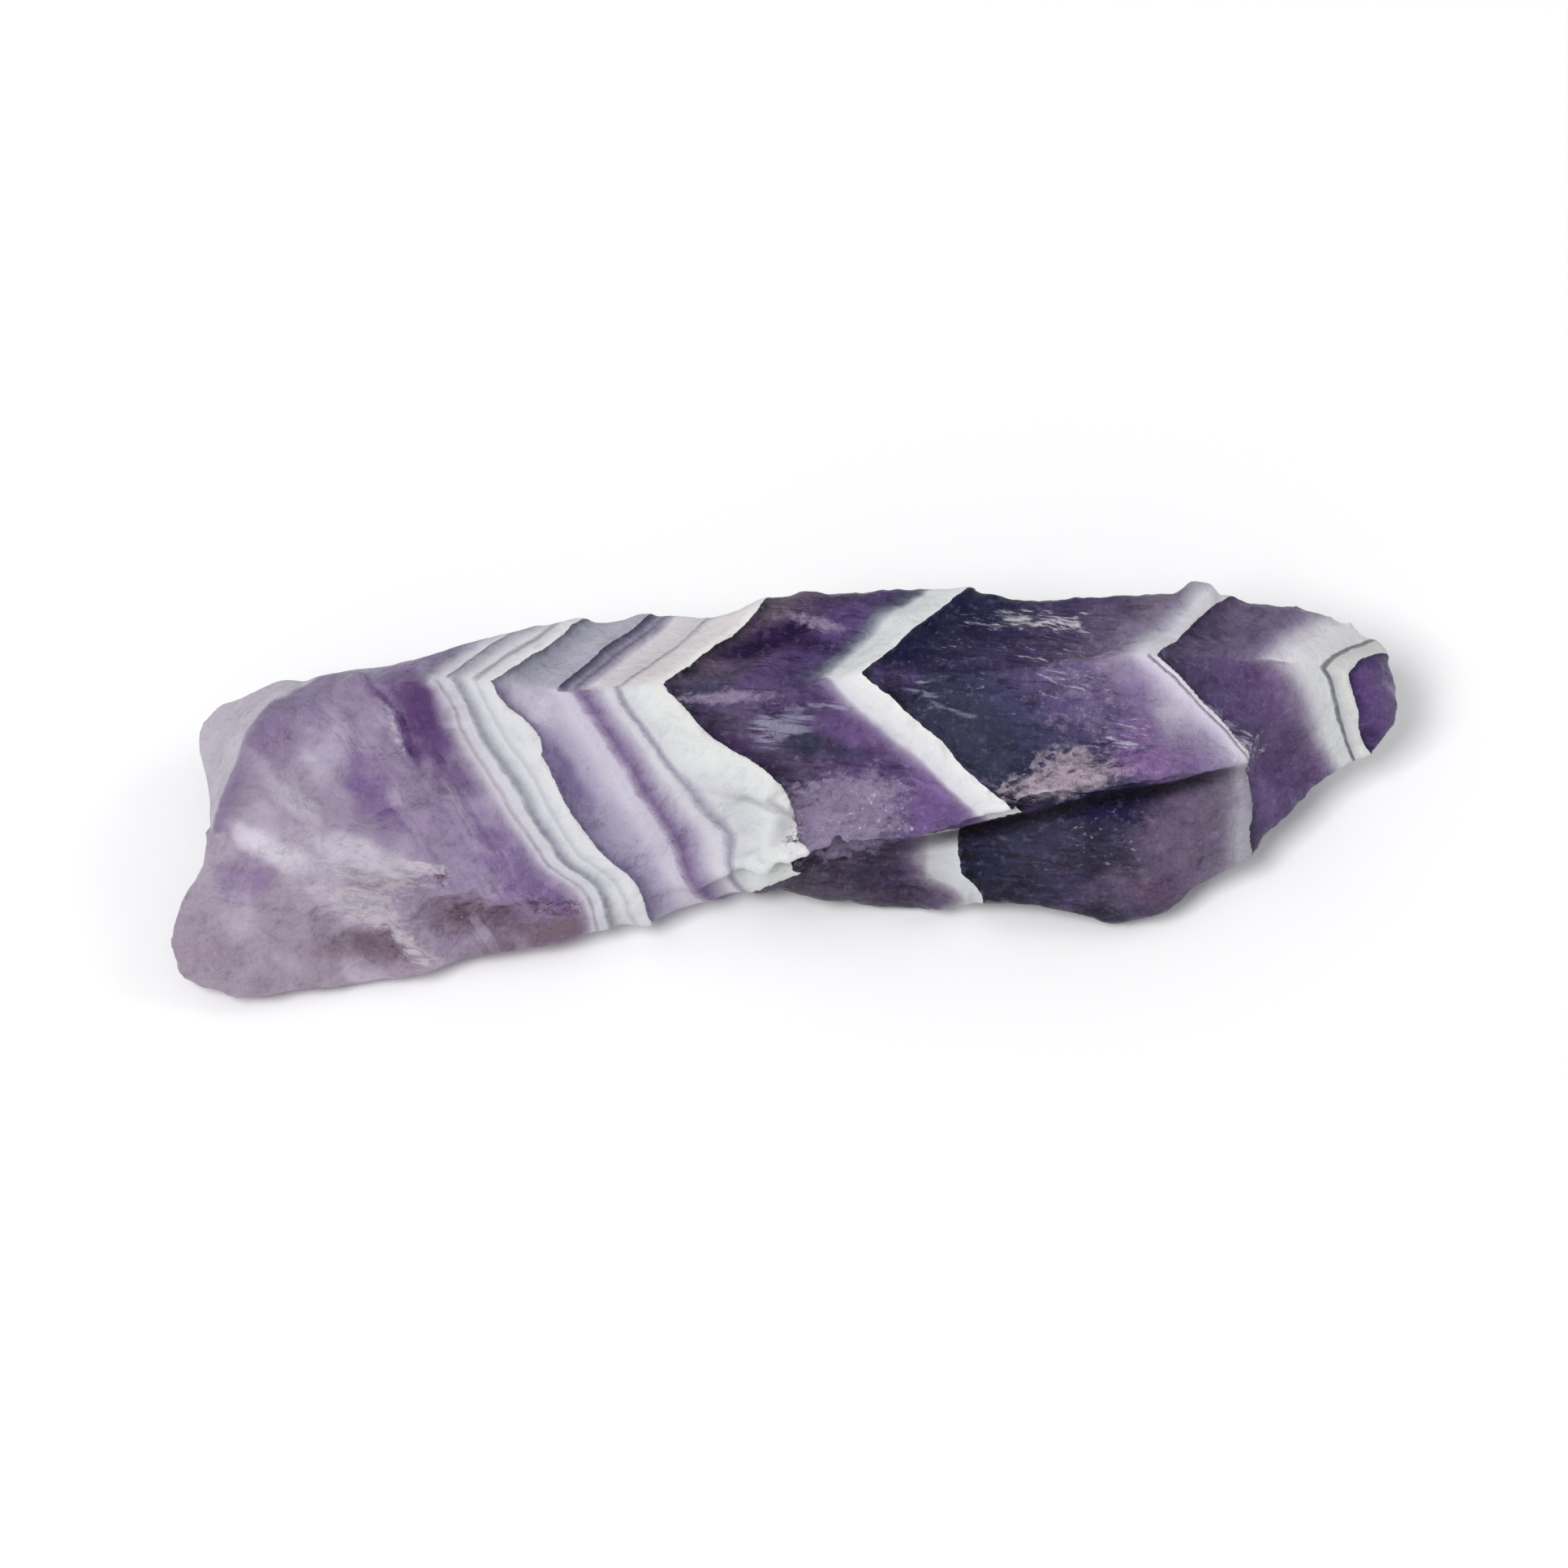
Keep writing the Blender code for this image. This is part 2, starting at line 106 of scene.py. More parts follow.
# The seven cycles of growth, in mm along the crest. Each ends at a sharp edge, and its colours go from
# its start to its end as the photograph shows them, each with its place, red, green and blue.
zoneEdges = (-14.43, -11.46, -5.96, 3.7, 17.96, 27.44)
tipColours = [(27.44, .22, .13, .33), (28.0, .37, .26, .49), (28.9, .43, .35, .53),
              (29.1, .58, .53, .66), (29.4, .42, .33, .52), (31.23, .40, .32, .50)]
frontColours = [
    [(-29.62, .67, .61, .68), (-21.28, .62, .55, .68), (-19.6, .58, .49, .64), (-18.9, .58, .50, .65),
     (-18.2, .68, .63, .72), (-17.65, .79, .77, .81), (-17.45, .73, .70, .76), (-17.2, .80, .79, .82),
     (-16.75, .80, .80, .83), (-16.47, .64, .64, .69), (-16.0, .76, .76, .79), (-15.6, .83, .83, .85),
     (-15.4, .76, .76, .80), (-15.1, .84, .84, .86), (-14.41, .86, .86, .87)],
    [(-14.41, .48, .45, .55), (-14.0, .58, .54, .66), (-13.3, .65, .61, .72), (-12.4, .71, .68, .77),
     (-11.46, .79, .77, .82)],
    [(-11.46, .79, .77, .83), (-10.9, .78, .75, .82), (-10.55, .62, .55, .67), (-10.32, .52, .44, .60),
     (-10.08, .58, .51, .65), (-9.6, .70, .66, .75), (-9.0, .81, .80, .83), (-8.72, .80, .79, .83),
     (-8.44, .67, .65, .72), (-8.1, .81, .81, .83), (-7.2, .86, .87, .87), (-5.97, .88, .88, .87)],
    [(-5.97, .14, .11, .16), (-5.4, .25, .20, .29), (-4.3, .37, .31, .42), (-2.6, .38, .30, .46),
     (0.3, .38, .29, .48), (0.95, .47, .38, .57), (1.5, .62, .56, .69), (2.05, .84, .83, .86),
     (3.7, .92, .92, .91)],
    [(3.7, .02, .03, .06), (4.3, .10, .11, .19), (6.5, .20, .21, .34), (9.0, .28, .27, .41),
     (11.6, .41, .35, .52), (14.06, .51, .43, .61), (15.4, .60, .53, .68), (16.4, .71, .66, .77),
     (17.44, .84, .81, .87), (17.59, .68, .63, .73), (17.74, .89, .87, .91), (17.96, .84, .82, .86)],
    [(17.96, .19, .15, .26), (18.6, .33, .27, .42), (20.5, .41, .33, .50), (22.2, .43, .33, .51),
     (23.2, .54, .47, .60), (24.1, .73, .71, .76), (24.8, .82, .82, .83), (25.9, .82, .83, .83),
     (26.1, .52, .52, .57), (26.3, .76, .76, .78), (27.1, .85, .85, .84), (27.44, .83, .83, .82)],
    tipColours,
]
backColours = [                       # behind the crest the milky zones are greyer and striped
    [(-29.62, .66, .63, .70), (-21.77, .58, .54, .64), (-19.8, .50, .44, .58), (-18.43, .56, .53, .62),
     (-17.64, .74, .73, .77), (-16.96, .84, .83, .85), (-16.76, .60, .59, .65), (-16.37, .70, .69, .73),
     (-15.78, .84, .83, .85), (-15.39, .68, .67, .72), (-15.09, .84, .83, .86), (-14.41, .88, .87, .88)],
    [(-14.41, .40, .40, .47), (-14.0, .58, .58, .64), (-13.2, .67, .66, .72), (-12.3, .71, .70, .75),
     (-11.46, .69, .68, .74)],
    [(-11.46, .26, .25, .33), (-11.2, .38, .36, .46), (-10.8, .60, .58, .66), (-10.55, .50, .47, .57),
     (-10.2, .68, .66, .72), (-9.8, .82, .80, .82), (-8.4, .80, .78, .79), (-8.2, .72, .70, .73),
     (-7.8, .84, .82, .82), (-6.6, .87, .85, .85), (-5.97, .91, .90, .89)],
    [(-5.97, .17, .13, .16), (-5.3, .40, .33, .39), (-4.0, .45, .37, .47), (-2.0, .37, .27, .47),
     (-0.2, .37, .27, .50), (0.5, .36, .32, .47), (1.1, .54, .55, .61), (1.8, .82, .83, .84),
     (3.7, .88, .88, .88)],
    [(3.7, .01, .01, .04), (4.5, .07, .05, .20), (8.0, .17, .13, .31), (11.0, .27, .21, .38),
     (13.5, .41, .35, .46), (15.5, .55, .50, .60), (16.4, .69, .68, .73), (17.2, .80, .79, .82),
     (17.96, .80, .79, .81)],
    [(17.96, .25, .20, .31), (19.0, .42, .37, .49), (21.5, .47, .41, .54), (22.4, .56, .51, .62),
     (23.3, .76, .74, .79), (24.2, .86, .85, .87), (25.9, .84, .84, .84), (26.1, .54, .55, .58),
     (26.3, .78, .78, .78), (27.44, .82, .82, .81)],
    tipColours,
]
blockColours = {                      # the two zones of the block that are duller than those above it
    3: [(-5.97, .20, .16, .20), (-3.0, .35, .31, .36), (-0.5, .27, .22, .30), (0.7, .29, .23, .33),
        (1.4, .46, .40, .50), (1.9, .64, .61, .66), (2.3, .76, .76, .78), (3.7, .80, .81, .82)],
    4: [(3.7, .03, .03, .05), (4.5, .11, .11, .17), (8.2, .16, .15, .25), (11.6, .18, .15, .26),
        (13.5, .34, .28, .38), (15.5, .45, .39, .50), (16.8, .54, .50, .57), (17.4, .67, .66, .70),
        (17.96, .66, .65, .68)],
}

# Stains, and painted shade, shadow, highlights and glints: places that look different from the rest of
# their zone, where the photograph shows them. Each oval has the pixel at its middle, half its width and
# height in mm, its turn in degrees, its strength and its softness. "breaks" says how a noise breaks each
# one up: between which values of the noise, taking how much at the first and adding how much at the
# second. "within" names the quartz it is in.
clouded = (0.25, 0.75, -0.30, 0.25)
smooth = (0.3, 0.7, -0.12, 0.10)
strands = (0.44, 0.64, -0.95, 0.15)
fibrous = (0.36, 0.62, -0.65, 0.25)
granular = (0.32, 0.68, -0.45, 0.30)
sparse = (0.58, 0.74, -1.0, 0.0)
wispy = (0.38, 0.62, -0.6, 0.2)
stainsAndLight = {
    "violet": {
        "colour": (.49, .38, .60), "texture": "mottle", "breaks": clouded, "within": "clear",
        "ovals": {
            "creaseSide": ((474, 487), (1.3, 2.6), -30, .4, .9),
            "smudge": ((500, 507), (.8, 2.2), 34, .75, .9),
            "lobeSpot": ((458, 537), (1.3, 1.1), 20, .7, .9),
            "grainyPurple": ((553, 530), (2.6, 2.0), -15, .6, .8),
            "violetWindow": ((668, 487), (2.2, 1.1), -12, .5, .7),
            "brightViolet": ((697, 512), (1.6, 1.8), 0, .75, .8),
            "rosyLilac": ((768, 472), (2.0, 1.6), -20, .3, .9),
            "endGlow": ((812, 505), (1.6, 1.6), 0, .5, .9),
        },
    },
    # Partly the pocket's own deeper purple and partly painted shade in its hollow
    "pocket": {
        "colour": (.44, .31, .53), "texture": "clouds", "breaks": smooth, "within": "any",
        "ovals": {
            "pocketTop": ((511, 468), (1.5, .8), -35, .35, .9),
            "deepPocket": ((519, 481), (.9, 2.4), 22, .9, .7),
            "pocketFoot": ((526, 498), (1.9, .5), -26, .3, .9),
            "pocketCorner": ((516, 493), (.25, .8), 5, .7, .8),
            # Painted shadow along the right, top and lower edges of the raised tongue
            "tongueEdgeShadow": ((512.5, 487), (.22, 1.5), 19, 1.0, .7),
            "tongueTopShadow": ((504, 473), (.18, 1.2), 45, .7, .8),
            "tongueFootShadow": ((502, 496), (1.4, .22), -28, .35, .9),
        },
    },
    "plum": {
        "colour": (.27, .17, .36), "texture": "mottle", "breaks": clouded, "within": "clear",
        "ovals": {
            "plumEdge": ((626, 492), (2.6, .7), -33, .5, .8),
            "upperBlock": ((690, 537), (2.0, .8), 0, .4, .9),
            "endPlum": ((822, 502), (1.2, 1.6), 0, .4, .9),
        },
    },
    "heart": {
        "colour": (.15, .04, .25), "texture": "streaks", "breaks": clouded, "within": "clear",
        "ovals": {
            "darkHeart": ((640, 454), (2.6, .6), 16, 1.0, .8),
            "darkTail": ((655, 455), (1.8, .4), -16, .8, .8),
            "darkBrow": ((664, 441), (1.8, .5), 6, .6, .9),
        },
    },
    "ink": {
        "colour": (.05, .05, .24), "texture": "streaks", "breaks": clouded, "within": "clear",
        "ovals": {
            "navyBrow": ((706, 443), (3.2, 1.0), 0, 1.0, .7),
            "navyBelow": ((692, 456), (1.9, 1.0), 30, .8, .8),
            "inkyBlock": ((762, 511), (2.6, 1.0), 4, .95, .7),
            "inkyEdge": ((716, 530), (1.0, 1.8), 0, .5, .9),
        },
    },
    "slate": {
        "colour": (.24, .25, .35), "texture": "streaks", "breaks": clouded, "within": "clear",
        "ovals": {
            "indigoEdge": ((618, 470), (1.6, .7), 20, .6, .9),
            "slateWindow": ((652, 490), (1.2, .6), -12, .9, .7),
            "slateRise": ((664, 492), (1.6, .5), -8, .6, .8),
            "glassySlate": ((708, 485), (2.8, 1.7), -30, .9, .7),
            "slateBlock": ((735, 525), (3.0, 1.6), 0, .4, .9),
            "slateFoot": ((717, 497), (1.4, 1.6), -30, .7, .9),
        },
    },
    "lilac": {
        "colour": (.60, .54, .66), "texture": "granules", "breaks": granular, "within": "clear",
        "ovals": {
            "palePatch": ((501, 480), (2.0, .9), -52, .75, .5),
            "heartVeil": ((656, 449), (1.6, .25), -14, .8, .8),
            "lavenderVeil": ((624, 474), (2.3, .3), 2, .9, .8),
            "lavenderGrain": ((664, 515), (3.4, 1.9), 8, 1.0, .5),
            "lavenderFoot": ((655, 524), (1.6, 1.0), 20, .7, .6),
            "lilacHaze": ((752, 474), (2.4, 1.8), -25, .4, .9),
            "apexHaze": ((764, 462), (1.6, .8), 10, .8, .9),
        },
    },
    "blockHaze": {
        "colour": (.46, .39, .50), "texture": "mottle", "breaks": clouded, "within": "clear",
        "ovals": {
            "hazeAbove": ((784, 522), (2.0, 2.2), 0, .8, .9),
            "hazeBelow": ((766, 540), (2.2, .8), 10, .6, .9),
        },
    },
    "bandLilac": {
        "colour": (.50, .44, .60), "texture": "clouds", "breaks": smooth, "within": "bandLilac",
        "ovals": {
            "bandHeart": ((570, 503), (2.2, .55), -57, .8, .8),
            "bandLow": ((592, 538), (1.4, .5), -50, .5, .9),
        },
    },
    "glass": {
        "colour": (.63, .62, .73), "texture": "streaks", "breaks": wispy, "within": "clear",
        "ovals": {
            "paleWindow": ((644, 484), (1.3, .8), 14, .95, .7),
            "windowTail": ((662, 477), (1.4, .2), 0, .6, .8),
            "glassEdge": ((700, 476), (1.6, .2), -25, .5, .8),
            "beakHaze": ((797, 486), (1.8, .8), -35, .8, .9),
        },
    },
    "rose": {
        "colour": (.59, .45, .67), "texture": "granules", "breaks": granular, "within": "clear",
        "ovals": {
            "rosyFoot": ((772, 496), (2.4, .8), 4, .75, .8),
            "rosyRise": ((770, 486), (1.2, .8), 0, .5, .9),
            "rosyEnd": ((700, 503), (1.6, .8), 0, .5, .9),
        },
    },
    # Partly the foot's own brownish tone and partly painted shade where the foot turns away from the light,
    # with painted shade in the hollow at brownHollow
    "brownAndShade": {
        "colour": (.48, .39, .44), "texture": "grain", "breaks": clouded, "within": "clear",
        "ovals": {
            "brownHollow": ((537, 551), (2.4, .9), -6, .8, .7),
            "brownFoot": ((500, 562), (2.6, .9), 0, .8, .8),
            "brownEdge": ((560, 557), (3.4, .7), 14, .9, .8),
            "brownEnd": ((450, 562), (3.0, 1.2), 0, .3, .9),
            "tanEdge": ((583, 545), (1.6, .6), 25, .5, .9),
        },
    },
    "wineAndShade": {
        "colour": (.36, .23, .34), "texture": "granules", "breaks": strands, "within": "clear",
        "ovals": {
            "redStreak": ((563, 547), (2.8, .5), 6, 1.0, .8),
            "brokenEye": ((525, 537), (.5, .4), 0, 1.3, .6),
            "bruisedBlock": ((775, 542), (1.3, .8), 30, .9, .8),
            # Painted shade in a hollow of the foot and painted shadow along the edge of its shell; the
            # ovals above are the stone's own dark red
            "hollowPaintedShade": ((537, 550), (1.8, .9), -6, .9, .8),
            "footCreaseShadow": ((508, 561), (.4, 1.6), 35, .9, .8),
        },
    },
    "tan": {
        "colour": (.74, .67, .72), "texture": "granules", "breaks": granular, "within": "any",
        "ovals": {
            "tanLip": ((741, 503), (3.0, .7), 11, .85, .8),
            "tanRise": ((744, 496), (1.7, .7), 8, .65, .9),
        },
    },
    "shade": {
        "colour": (.62, .60, .64), "texture": "clouds", "breaks": smooth, "within": "any",
        "ovals": {
            "greyFold": ((634, 511), (2.2, .22), -18, .45, .9),
            "foldTip": ((646, 514), (1.0, .2), -35, .6, .8),
            "toeShade": ((645, 519), (.5, .9), -35, .5, .9),
        },
    },
    "milkWisp": {
        "colour": (.86, .83, .88), "texture": "clouds", "breaks": smooth, "within": "any",
        "ovals": {
            "whiteStreak": ((466, 526), (2.0, .6), -30, .85, .9),
            "paleRise": ((781, 480), (1.2, 1.8), 25, .4, .9),
            "streakEnd": ((474, 530), (.9, .5), -30, .4, .9),
            "milkyWisp": ((472, 507), (2.6, .6), -45, .5, .9),
            "upperWisp": ((487, 505), (2.2, .5), -48, .3, .9),
            "milkyArc": ((496, 528), (2.8, .7), -16, .6, .9),
            "stackTop": ((556, 475), (1.8, .6), -35, .5, .9),
        },
    },
    "fibreAndHighlight": {
        "colour": (.80, .76, .80), "texture": "fibres", "breaks": fibrous, "within": "any",
        "ovals": {
            "upperFibre": ((502, 536), (3.0, .6), -8, .9, .8),
            "fibreTip": ((519, 533), (1.2, .25), -12, 1.2, .6),
            "middleFibre": ((496, 543), (2.4, .4), -6, .8, .8),
            "footRim": ((500, 550), (2.0, .5), -10, 1.0, .7),
            "footCurve": ((511, 557), (.5, 1.6), 38, .9, .7),
            "footRidge": ((520, 565), (1.8, .5), -30, .7, .8),
            # Painted highlight along the rim of the raised tongue
            "tongueRimHighlight": ((509.5, 486), (.14, 1.4), 19, .7, .8),
        },
    },
    "frostAndHighlight": {
        "colour": (.84, .82, .87), "texture": "fibres", "breaks": strands, "within": "any",
        "ovals": {
            "frostStreaks": ((735, 447), (3.0, .5), -1, 1.0, .8),
            "frostSecond": ((720, 457), (3.0, .4), -4, .45, .9),
            "frostThird": ((710, 470), (2.6, .6), -10, .3, .9),
            "frostFork": ((744, 466), (2.0, 1.4), -25, .55, .9),
            "lipFrost": ((764, 485), (1.8, 1.0), 30, .55, .9),
            # Painted highlight along the ledge's lip
            "lipHighlight": ((733, 508), (2.8, .3), 12, .7, .8),
            "beakFrost": ((806, 492), (1.2, 1.0), 0, .9, .8),
        },
    },
    "glints": {
        "colour": (.86, .84, .90), "texture": "grain", "breaks": sparse, "within": "any",
        "ovals": {
            "grainGlints": ((672, 517), (4.4, 2.2), 8, .9, .6),
            "toeGlints": ((653, 524), (1.0, 1.6), 0, 1.0, .6),
            "blockGlints": ((758, 524), (3.0, 2.4), 0, .75, .8),
            "tanGlints": ((742, 501), (3.0, 1.0), 11, .9, .6),
            "footGlints": ((540, 546), (4.0, 1.4), 0, .7, .8),
            "pitGlints": ((650, 524), (.8, 1.2), 15, 1.1, .6),
        },
    },
    "pits": {
        "colour": (.36, .31, .38), "texture": "granules", "breaks": strands, "within": "any",
        "ovals": {
            "toePit": ((649, 523), (.5, 1.3), -20, .75, .8),
        },
    },
    "gleams": {
        "colour": (.72, .70, .80), "texture": "fibres", "breaks": sparse, "within": "any",
        "ovals": {
            "lilacGleams": ((765, 480), (3.4, 2.0), -20, 1.0, .7),
            "endGleams": ((808, 478), (3.0, 3.0), 0, .7, .9),
            "darkGleams": ((712, 470), (6.0, 3.4), 0, .9, .9),
            "windowGleams": ((650, 478), (3.4, 2.6), 0, .9, .8),
            "blockGleams": ((745, 528), (5.0, 2.0), 0, .8, .8),
        },
    },
}

# The line where the ledge's lip hangs over the block, by pixel
lipLine = ((634, 541), (655, 532), (672, 529), (690, 522.5), (707, 519.5), (724, 515), (741, 511),
           (759, 506.7), (781, 503.5), (797, 499), (808, 496.5))

# The pale face beyond a curved crease at the milky end
crease = {
    "middlePixel": (528.5, 537.5),
    "radius": 84.5,                   # in pixels, as are the limits
    "rightLimit": 488,
    "lowLimit": 521,
    "elsewhere": -5.0,                # what stands for the distance outside the limits
    "facing": (-0.1, 0.3),            # how far a face looks at the camera, for no paint and for all of it
    "faceEdge": (-0.05, 0.3),         # mm beyond the crease, as are the next ones that have two values
    "lineStart": (-1.4, -0.2),
    "lineEnd": (-0.05, 0.15),
    "smoothOver": (-0.2, 0.4),
    "dropOver": (0.0, 0.6),
    "drop": 0.28,                     # how deep the pale face lies
    "colour": (.80, .77, .82),
    "lineColour": (.48, .39, .56),
    "lineShare": 0.6,
}


# Finds the point of the stone that the photograph shows at a pixel
def placeAt(pixel, surface):
    right = (pixel[0] - photo["originPixel"][0]) * photo["mmPerPixel"]
    up = (photo["originPixel"][1] - pixel[1]) * photo["mmPerPixel"]
    place = acrossPhoto * right + upPhoto * up
    hit = surface.ray_cast(place + toCamera * photo["rayStart"], -toCamera)[0]
    if hit is None:
        hit = surface.find_nearest(place + toCamera * photo["nearestFrom"])[0]
    return hit


# The turn of an oval that faces the camera
def turnOf(degrees):
    lean = Matrix.Rotation(math.pi / 2 - photo["lookDown"], 3, "X")
    return lean @ Matrix.Rotation(math.radians(degrees), 3, "Z")


# 0 up to the start, 1 from the end on, and smooth in between
def eased(value, start, end):
    share = np.clip((value - start) / (end - start), 0, 1)
    return share * share * (3 - 2 * share)


# The mesh of the stone: the solid, made much finer
body = {
    "node": "chevron_amethyst",
    "voxel": 0.183,                   # in mm, as is the weld
    "softenRounds": 12,
    "softening": 0.5,
    "weld": 0.001,
    "noiseFading": 1.0,               # how much weaker and finer each fold of a noise is than the last
    "noiseFiner": 2.0,
}


def selectOnly(thing):
    bpy.ops.object.select_all(action="DESELECT")
    thing.select_set(True)
    bpy.context.view_layer.objects.active = thing


# A copy of the solid with small even faces, a little softer
def fineCopy():
    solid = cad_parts[body["node"]]
    fine = bpy.data.objects.new("banded_stone", solid.data.copy())
    bpy.context.collection.objects.link(fine)
    selectOnly(fine)
    bpy.ops.object.mode_set(mode="EDIT")
    bpy.ops.mesh.select_all(action="SELECT")
    bpy.ops.mesh.remove_doubles(threshold=body["weld"] * mm)
    bpy.ops.object.mode_set(mode="OBJECT")
    remesh = fine.modifiers.new("finer", "REMESH")
    remesh.mode = "VOXEL"
    remesh.voxel_size = body["voxel"] * mm
    bpy.ops.object.modifier_apply(modifier=remesh.name)
    soften = fine.modifiers.new("soften", "SMOOTH")
    soften.factor = body["softening"]
    soften.iterations = body["softenRounds"]
    bpy.ops.object.modifier_apply(modifier=soften.name)
    return fine


def coordinates(thing):
    flat = np.zeros(len(thing.data.vertices) * 3)
    thing.data.vertices.foreach_get("co", flat)
    return flat.reshape(-1, 3) / mm


def normals(thing):
    flat = np.zeros(len(thing.data.vertices) * 3)
    thing.data.vertices.foreach_get("normal", flat)
    return flat.reshape(-1, 3)


def putBack(thing, places):
    thing.data.vertices.foreach_set("co", (places * mm).ravel())
    thing.data.update()


# Noise at each point, with folds of finer and finer detail
def noiseOver(places, size, folds=1, stretch=(1, 1, 1)):
    scaled = places / (np.array(stretch) * size)
    fading, finer = body["noiseFading"], body["noiseFiner"]
    return np.array([noise.fractal(Vector(p), fading, finer, folds) for p in scaled])


# Where each point is on the drawing that the growth was laid out on
def laidOut(places):
    return (places - np.array(growth["layoutShift"])) / growth["layoutScale"]


# How far each point is inside an oval that is placed by pixel: 1 well inside, 0 outside
def ovalMask(places, surface, pixel, size, turn, soft):
    local = (places - np.array(placeAt(pixel, surface))) @ np.array(turnOf(turn))
    reach = np.linalg.norm(local / np.array((*size, growth["ovalDepth"])), axis=1)
    return 1 - eased(reach, 1 - soft, 1 + soft)


# Distance along the crest at which each point grew, whether its face is behind the crest, and the
# same distance for the block under the ledge
def growthOver(places, surface):
    laid = laidOut(places)
    crest = np.array(growth["crest"])
    slope = photo["lookDown"]
    crestAway = (crest[:, 1] - crest[:, 2] * math.cos(slope)) / math.sin(slope)
    along = laid[:, 0]
    away = laid[:, 1] - np.interp(along, crest[:, 0], crestAway)
    height = laid[:, 2] - np.interp(along, crest[:, 0], crest[:, 2])
    frontOpening = np.interp(along, growth["frontOpeningPlaces"], growth["frontOpenings"])
    behind = growth["backOpening"] * (away * growth["backFace"][0] + height * growth["backFace"][1])
    before = frontOpening * (away * growth["frontFace"][0] + height * growth["frontFace"][1])
    wander = growth["wander"] * noiseOver(laid, growth["wanderSize"])
    for pixel, size, turn, push, soft in growth["pushes"].values():
        wander -= push * ovalMask(places, surface, pixel, size, turn, soft)
    whole = along - np.maximum(behind, before) + wander
    block = along - growth["blockOpening"] + wander
    shared = (block > zoneEdges[growth["sharedEdge"]]) & (before > behind)
    whole = np.where(shared, np.maximum(whole, block), whole)
    return whole, eased(behind - before, -growth["crestBlend"], growth["crestBlend"]), block


# The pixel at which the photograph sees each point
def pixelsOf(places):
    across = places @ np.array(acrossPhoto) / photo["mmPerPixel"] + photo["originPixel"][0]
    down = photo["originPixel"][1] - places @ np.array(upPhoto) / photo["mmPerPixel"]
    return across, down


# How far below the ledge's lip each point is, in mm, and its pixel across the photograph
def belowLip(places):
    across, down = pixelsOf(places)
    line = np.array(lipLine)
    below = (down - np.interp(across, line[:, 0], line[:, 1])) * photo["mmPerPixel"]
    return below, across


# How far beyond the crease at the milky end each point is, in mm
def beyondCrease(places):
    across, down = pixelsOf(places)
    middle = crease["middlePixel"]
    away = np.hypot(across - middle[0], down - middle[1]) - crease["radius"]
    inside = (across < crease["rightLimit"]) & (down < crease["lowLimit"])
    return np.where(inside, away * photo["mmPerPixel"], crease["elsewhere"])


